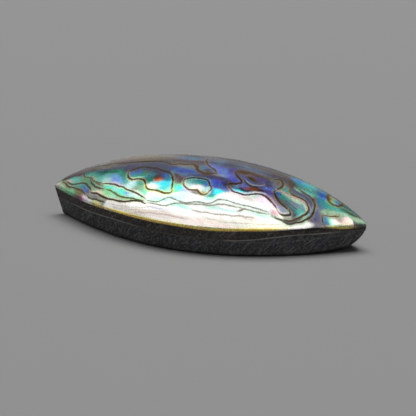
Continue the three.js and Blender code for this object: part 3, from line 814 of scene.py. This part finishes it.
class Wall:
    """The points of a ground wall: columns round the outline, with rows from the bottom up in each."""

    def __init__(self, bottom, top, rows):
        u = np.linspace(-1, 1, WALL_STATIONS + 1)
        # Along the front to +X, then along the back to -X. Both tips belong to the front.
        self.u = np.concatenate([u, u[-2:0:-1]])[:, None]
        self.side = np.repeat([-1.0, 1.0], [WALL_STATIONS + 1, WALL_STATIONS - 1])[:, None]
        share = np.linspace(0, 1, rows)[None, :]
        self.z = bottom(self.u) * (1 - share) + top(self.u) * share
        x, y = HALF_LENGTH * self.u[:, 0], (self.side * half_width(self.u))[:, 0]
        around = np.concatenate([[0], np.cumsum(np.hypot(np.diff(x), np.diff(y)))])
        self.around = np.repeat(around[:, None], rows, axis=1)

    def uneven(self, depth, size, seed):
        return depth * cloud(self.around, self.z, size, seed)

    def points(self, inset):
        """The points of the leaning wall, moved in by inset."""
        below = 1 - self.z / girdle(self.u)
        x = HALF_LENGTH * self.u + HEEL_INSET * below * (1 - self.u) / 2
        width = half_width(self.u) * (1 - WALL_LEAN * below)
        reach = np.minimum(inset, 0.5 * width)
        return np.stack([x - inset * self.u**TIP_PULL_POWER, self.side * (width - reach), self.z], axis=-1)


def wall_faces(rows):
    """Faces of a closed slab: its wall, and strips across its bottom and its top."""
    columns = 2 * WALL_STATIONS
    faces = []
    for i in range(columns):
        here, there = i * rows, ((i + 1) % columns) * rows
        faces.extend((here + j, there + j, there + j + 1, here + j + 1) for j in range(rows - 1))
    for i in range(WALL_STATIONS):
        front, front_next = i * rows, (i + 1) * rows
        back = ((columns - i) % columns) * rows
        back_next = (columns - i - 1) * rows
        bottom = [front, back, back_next, front_next]
        top = [corner + rows - 1 for corner in (front, front_next, back_next, back)]
        # At a tip, front and back are the same point, and the face is a triangle.
        faces.extend(tuple(dict.fromkeys(face)) for face in (bottom, top))
    return faces


def scratches(wall, count, seed):
    """Slanting marks of the grinding wheel on a wall, from 0 to 1."""
    rng = np.random.default_rng(seed)
    field = np.zeros(wall.around.shape)
    columns = wall.around[:, 0]
    for _ in range(count):
        middle = rng.uniform(columns.min(), columns.max())
        height = rng.uniform(*SCRATCH_HEIGHTS)
        slant = math.radians(rng.normal(GRIND_ANGLE, GRIND_SPREAD))
        length = rng.uniform(*SCRATCH_LENGTHS)
        width = rng.uniform(*SCRATCH_WIDTHS)
        depth = rng.uniform(*SCRATCH_DEPTHS) ** 2
        reach = length * math.cos(slant) + 3 * width
        first, last = np.searchsorted(columns, [middle - reach, middle + reach])
        da, dz = wall.around[first:last] - middle, wall.z[first:last] - height
        along = (da * math.cos(slant) + dz * math.sin(slant)) / length
        across = (dz * math.cos(slant) - da * math.sin(slant)) / width
        mark = depth * np.exp(-(across**2)) * (1 - smoothstep(SCRATCH_FADE, 1, np.abs(along)))
        field[first:last] = np.maximum(field[first:last], mark)
    return field


def groove(wall):
    """A second pale line that the wheel left low on the front of the wall, towards the +X end."""
    middle = girdle(wall.u) - ease_through(wall.u, GROOVE_DEPTHS)
    near = np.exp(-(((wall.z - middle) / GROOVE_HALF_WIDTH) ** 2))
    return np.where(wall.side < 0, near * stretch(wall.u, *GROOVE_STRETCH), 0)


def lower_finish(wall):
    """Inset and pale marks of the lower slab: scratched, mottled, with a rounded and ragged bottom edge."""
    marks = np.maximum(scratches(wall, LOWER_SCRATCHES, LOWER_SEED), 0.5 * groove(wall))
    mottle = wall.uneven(*LOWER_LUMPS) + wall.uneven(*LOWER_GRAIN)
    edge = np.clip(1 - (wall.z - underside(wall.u)) / EDGE_RADIUS, 0, 1)
    rounding = EDGE_RADIUS * (1 - np.sqrt(1 - edge**2))
    ragged = (RAGGED_DEPTH + wall.uneven(RAGGED_DEPTH, RAGGED_SIZE, RAGGED_SEED)) * edge
    return SCRATCH_CUT * marks + LOWER_INSET + mottle + rounding + ragged, marks


def upper_finish(wall):
    """Inset and pale marks of the upper backing: lightly scratched."""
    marks = scratches(wall, UPPER_SCRATCHES, UPPER_SEED)
    return SCRATCH_CUT * marks + UPPER_INSET + wall.uneven(*UPPER_LUMPS), marks


def glue_finish(wall):
    """Inset and paleness of the glue film's edge."""
    shows = sum(stretch(wall.u, *stations) for stations in GLUE_STRETCHES)
    marks = (GLUE_FAINT + GLUE_PALE * shows) * (1 + wall.uneven(*GLUE_PATCHINESS))
    return GLUE_INSET + wall.uneven(*GLUE_LUMPS), np.clip(marks, 0, 1)


def build_wall(name, bottom, top, rows, replaced, material, finish):
    wall = Wall(bottom, top, rows)
    inset, marks = finish(wall)
    points = wall.points(np.clip(inset, 0, None))
    piece = add_mesh(name, points.reshape(-1, 3), wall_faces(rows), replaced, material)
    c, d = math.cos(math.radians(GRIND_ANGLE)), math.sin(math.radians(GRIND_ANGLE))
    add_values(piece, "marks", marks)
    # Share of painted shade, 1 at the underside and fading out up the wall.
    add_values(piece, "painted_foot_shade", 1 - smoothstep(FOOT_SHADE_FULL, FOOT_SHADE_END, wall.z - underside(wall.u)))
    add_values(piece, "with_grind", wall.around * c + wall.z * d)
    add_values(piece, "across_grind", wall.z * c - wall.around * d)
    shade_smooth(piece, WALL_CREASE)


# ---- Materials. Noise scales are per metre. ----
COLOUR_A, COLOUR_B, COLOUR_RESULT = 6, 7, 2  # a Mix node's sockets for colours
NOISE_LOW, NOISE_HIGH = 0.3, 0.7  # nearly all of a noise's values lie between these
COARSE_NOISE = 1400.0
FINE_NOISE = 3600.0


class Nodes:
    """A material's nodes, with short ways to add and link them."""

    def __init__(self, name):
        self.material = bpy.data.materials.new(name)
        self.material.use_nodes = True
        self.tree = self.material.node_tree
        self.shader = self.tree.nodes["Principled BSDF"]

    def add(self, kind, **settings):
        node = self.tree.nodes.new(kind)
        for key, value in settings.items():
            setattr(node, key, value)
        return node

    def feed(self, socket, value):
        """Sets a socket to a number or a colour, or links another node's output to it."""
        if isinstance(value, (int, float, tuple)):
            socket.default_value = value
        else:
            self.tree.links.new(value, socket)

    def shade(self, **sockets):
        """Feeds the shader's sockets, by their names with _ for a space."""
        for name, value in sockets.items():
            self.feed(self.shader.inputs[name.replace("_", " ")], value)

    def attribute(self, name, output="Fac"):
        return self.add("ShaderNodeAttribute", attribute_name=name).outputs[output]

    def noise(self, scale, detail=3.0, roughness=0.55, place=None):
        node = self.add("ShaderNodeTexNoise")
        self.feed(node.inputs["Scale"], scale)
        self.feed(node.inputs["Detail"], detail)
        self.feed(node.inputs["Roughness"], roughness)
        self.feed(node.inputs["Vector"], place or self.add("ShaderNodeTexCoord").outputs["Object"])
        return node.outputs["Fac"]

    def grinding(self, width, length):
        """Noise drawn out along the grinding marks, in streaks of this width and length in millimetres."""
        place = self.add("ShaderNodeCombineXYZ")
        self.feed(place.inputs["X"], self.math("DIVIDE", self.attribute("across_grind"), width))
        self.feed(place.inputs["Y"], self.math("DIVIDE", self.attribute("with_grind"), length))
        return self.noise(1.0, 2.0, 0.5, place.outputs["Vector"])

    def spread(self, value, low, high, to_low, to_high):
        """Carries low and high over to to_low and to_high, smoothly between them and flat beyond them."""
        node = self.add("ShaderNodeMapRange", interpolation_type="SMOOTHSTEP")
        self.feed(node.inputs["Value"], value)
        for socket, number in zip(("From Min", "From Max", "To Min", "To Max"), (low, high, to_low, to_high)):
            self.feed(node.inputs[socket], number)
        return node.outputs["Result"]

    def vary(self, noise, to_low, to_high):
        return self.spread(noise, NOISE_LOW, NOISE_HIGH, to_low, to_high)

    def math(self, operation, a, b=0.0):
        node = self.add("ShaderNodeMath", operation=operation)
        self.feed(node.inputs[0], a)
        self.feed(node.inputs[1], b)
        return node.outputs["Value"]

    def mix(self, share, a, b):
        node = self.add("ShaderNodeMix", data_type="RGBA")
        self.feed(node.inputs["Factor"], share)
        self.feed(node.inputs[COLOUR_A], a)
        self.feed(node.inputs[COLOUR_B], b)
        return node.outputs[COLOUR_RESULT]

    def bump(self, height, distance, strength):
        node = self.add("ShaderNodeBump")
        self.feed(node.inputs["Strength"], strength)
        self.feed(node.inputs["Distance"], distance)
        self.feed(node.inputs["Height"], height)
        return node.outputs["Normal"]


def rgba(code):
    return (*(float(channel) for channel in linear(code)), 1.0)


def tinted_wash(m, ripple, fine, bands):
    """The painted colours, with small changes of hue, saturation and brightness."""
    tint = m.add("ShaderNodeHueSaturation")
    m.feed(tint.inputs["Hue"], m.vary(ripple, 0.475, 0.525))
    m.feed(tint.inputs["Saturation"], m.vary(fine, 0.95, 1.05))
    m.feed(tint.inputs["Value"], m.math("ADD", m.math("MULTIPLY", bands, 0.06), m.vary(fine, 0.95, 1.05)))
    m.feed(tint.inputs["Color"], m.attribute("wash", "Color"))
    return tint.outputs["Color"]


def nacre_material():
    """Metallic nacre under a clear coat, crossed by dull dark lines with an amber stain beside them."""
    m = Nodes("nacre")
    gap = m.attribute("gap")
    strength = m.attribute("line", "Alpha")
    ripple = m.noise(COARSE_NOISE)
    fine = m.noise(FINE_NOISE, 2.0)
    # Growth layers follow the lines, as thin bands of lighter and darker nacre.
    wander = m.math("ADD", gap, m.math("MULTIPLY", ripple, 0.5))
    bands = m.math("SINE", m.math("MULTIPLY", wander, 24.0))
    ragged = m.math("ADD", gap, m.vary(fine, -0.015, 0.015))
    core = m.math("MULTIPLY", m.spread(ragged, 0.035, -0.035, 0.0, 1.0), strength)
    flank = m.math("MULTIPLY", m.spread(ragged, 0.12, 0.01, 0.0, 0.5), strength)
    stained = m.mix(flank, tinted_wash(m, ripple, fine, bands), rgba(0x7A6632))
    relief = m.math("ADD", ripple, m.math("MULTIPLY", bands, 0.1))
    m.shade(
        Base_Color=m.mix(core, stained, m.attribute("line", "Color")),
        Metallic=m.spread(core, 0.0, 1.0, 0.7, 0.0),
        Roughness=m.vary(fine, 0.24, 0.34),
        Normal=m.bump(relief, 0.0001, 0.06),
        Coat_Weight=0.35,
        Coat_Roughness=0.035,
        Coat_IOR=1.5,
        Specular_IOR_Level=0.1,
    )
    return m.material


# The two ground backings. Each colour is a pair for dark and light, or one colour laid over them.
# Streaks and hairs are noise drawn out along the grinding marks: (width, length) in millimetres.
CHARCOAL = {
    "colours": (0x060607, 0x101113),
    "mottle": (700.0, 0.35),
    "streaks": (0.06, 0.9),
    "streak_colour": 0x3E4246,
    "hairs": (0.03, 0.5),
    "hair_end": 0.66,
    "hair_share": 0.75,
    "mark_share": 0.75,
    # How strongly the painted shade darkens the wall towards its bottom edge.
    "mark_colour": 0xA2A6A8,
    "foot_shade_share": 0.85,
    "grain": (3000.0, 4.0, 0.65),
    "roughness": (0.55, 0.8),
    "relief": 0.5,
}
BROWN_BLACK = {
    "colours": (0x0A0807, 0x17120E),
    "mottle": (350.0, 0.4),
    "streaks": (0.06, 0.8),
    "streak_colour": 0x544B42,
    "hairs": (0.03, 0.45),
    "hair_end": 0.68,
    "hair_share": 0.65,
    "mark_share": 0.7,
    "mark_colour": 0xA89E90,
    "foot_shade_share": 0.0,
    "grain": (2600.0, 4.0, 0.6),
    "roughness": (0.5, 0.75),
    "relief": 0.4,
}
STREAK_START, STREAK_END, STREAK_SHARE = 0.5, 0.68, 0.35
HAIR_START = 0.55
MOTTLE_END = 0.65
# Colour of the painted shade at the wall's bottom edge.
FOOT_SHADE_COLOUR = 0x050505


def ground_material(name, look):
    """Dull backing with slanting grinding marks, and painted shade that darkens it towards its bottom edge.
    """
    m = Nodes(name)
    dark, light = (rgba(code) for code in look["colours"])
    mottle_scale, mottle_start = look["mottle"]
    streaks = m.grinding(*look["streaks"])
    hairs = m.spread(m.grinding(*look["hairs"]), HAIR_START, look["hair_end"], 0.0, look["hair_share"])
    grain = m.noise(*look["grain"])
    base = m.mix(m.spread(m.noise(mottle_scale), mottle_start, MOTTLE_END, 0.0, 1.0), dark, light)
    streak_share = m.spread(streaks, STREAK_START, STREAK_END, 0.0, STREAK_SHARE)
    streaked = m.mix(streak_share, base, rgba(look["streak_colour"]))
    marks = m.math("MAXIMUM", m.math("MULTIPLY", m.attribute("marks"), look["mark_share"]), hairs)
    marked = m.mix(marks, streaked, rgba(look["mark_colour"]))
    # Painted shade: the backing darkens towards its bottom edge, where the contact shadow falls.
    painted_foot_shade = m.math("MULTIPLY", m.attribute("painted_foot_shade"), look["foot_shade_share"])
    relief = m.math("ADD", m.math("MULTIPLY", grain, 0.4), streaks)
    m.shade(
        Base_Color=m.mix(painted_foot_shade, marked, rgba(FOOT_SHADE_COLOUR)),
        Roughness=m.vary(grain, *look["roughness"]),
        Normal=m.bump(relief, 0.00008, look["relief"]),
        Specular_IOR_Level=0.3,
    )
    return m.material


def glue_material():
    m = Nodes("glue")
    m.shade(
        Base_Color=m.mix(m.attribute("marks"), rgba(0x2E2C29), rgba(0xA09A90)),
        Roughness=m.vary(m.noise(2500.0), 0.35, 0.55),
    )
    return m.material


# ---- The cabochon ----
UPPER_ROWS = 22
GLUE_ROWS = 4
LOWER_ROWS = 48

build_nacre(nacre_material())
build_wall("backing_upper", glue_top, girdle, UPPER_ROWS, "upper_backing",
           ground_material("brown_black_backing", BROWN_BLACK), upper_finish)
build_wall("glue_line", glue_bottom, glue_top, GLUE_ROWS, "glue_film", glue_material(), glue_finish)
build_wall("backing_lower", underside, glue_bottom, LOWER_ROWS, "lower_backing",
           ground_material("charcoal_backing", CHARCOAL), lower_finish)

# ---- Floor, light and camera, in metres and degrees ----
FLOOR_REACH = 3.0
FLOOR_COLOUR = 0xA0A0A0
ROOM_COLOUR = 0x9A9A9A
ROOM_STRENGTH = 0.34

# Softboxes that are seen only as reflections: name, azimuth, elevation, width, height and watts.
SOFTBOX_DISTANCE = 1.5
REFLECTED_SOFTBOXES = [
    ("front_softbox", -12, 50, 2.4, 2.3, 28.0),
    ("left_softbox", -80, 22, 1.4, 1.8, 7.5),
    ("right_softbox", 52, 26, 1.3, 1.1, 7.5),
    ("right_high_softbox", 112, 54, 1.6, 1.2, 5.0),
    ("left_high_softbox", -142, 54, 1.2, 1.1, 1.8),
    ("rim_softbox", -138, 13, 1.0, 0.8, 1.0),
    ("rear_softbox", 179, 18, 1.2, 0.6, 0.8),
]
# The one that lights the floor and dull surfaces, and has no reflection.
BACK_SOFTBOX = ("back_softbox", 199, 76, 1.4, 0.9, 19.5)

CAMERA_AZIMUTH = 21.57
CAMERA_ELEVATION = 18.0
CAMERA_DISTANCE = 0.1876
CAMERA_CLIP = 0.01
AIM_RIGHT = 0.00038  # where it looks, right of the origin in its view
AIM_UP = 0.00274
LENS = 135.0


def add_floor():
    corners = [(-1, -1), (1, -1), (1, 1), (-1, 1)]
    mesh = bpy.data.meshes.new("floor")
    mesh.from_pydata([(FLOOR_REACH * x, FLOOR_REACH * y, 0) for x, y in corners], [], [(0, 1, 2, 3)])
    floor = bpy.data.objects.new("floor", mesh)
    bpy.context.scene.collection.objects.link(floor)
    m = Nodes("floor")
    m.shade(Base_Color=rgba(FLOOR_COLOUR), Roughness=1.0, Specular_IOR_Level=0.0)
    mesh.materials.append(m.material)


def direction(azimuth, elevation):
    """Unit vector towards an azimuth, where 0 is -Y and 90 is +X, and an elevation, in degrees."""
    a, e = math.radians(azimuth), math.radians(elevation)
    return Vector((math.sin(a) * math.cos(e), -math.cos(a) * math.cos(e), math.sin(e)))


def add_softbox(name, azimuth, elevation, width, height, watts):
    light = bpy.data.lights.new(name, "AREA")
    light.shape = "RECTANGLE"
    light.size, light.size_y, light.energy = width, height, watts
    lamp = bpy.data.objects.new(name, light)
    bpy.context.scene.collection.objects.link(lamp)
    away = direction(azimuth, elevation)
    lamp.location = away * SOFTBOX_DISTANCE
    lamp.rotation_mode = "QUATERNION"
    lamp.rotation_quaternion = away.to_track_quat("Z", "Y")
    return lamp


def add_camera():
    camera = bpy.data.objects.new("camera", bpy.data.cameras.new("camera"))
    bpy.context.scene.collection.objects.link(camera)
    back = direction(CAMERA_AZIMUTH, CAMERA_ELEVATION)
    aim = back.to_track_quat("Z", "Y") @ Vector((AIM_RIGHT, AIM_UP, 0))
    camera.location = back * CAMERA_DISTANCE
    camera.rotation_mode = "QUATERNION"
    camera.rotation_quaternion = (camera.location - aim).to_track_quat("Z", "Y")
    camera.data.lens = LENS
    camera.data.clip_start = CAMERA_CLIP
    bpy.context.scene.camera = camera


def light_the_room():
    world = bpy.data.worlds.new("room")
    world.use_nodes = True
    background = world.node_tree.nodes["Background"]
    background.inputs["Color"].default_value = rgba(ROOM_COLOUR)
    background.inputs["Strength"].default_value = ROOM_STRENGTH
    bpy.context.scene.world = world
    for softbox in REFLECTED_SOFTBOXES:
        add_softbox(*softbox).visible_diffuse = False
    add_softbox(*BACK_SOFTBOX).visible_glossy = False
    bpy.context.scene.view_settings.view_transform = "Standard"


add_floor()
light_the_room()
add_camera()
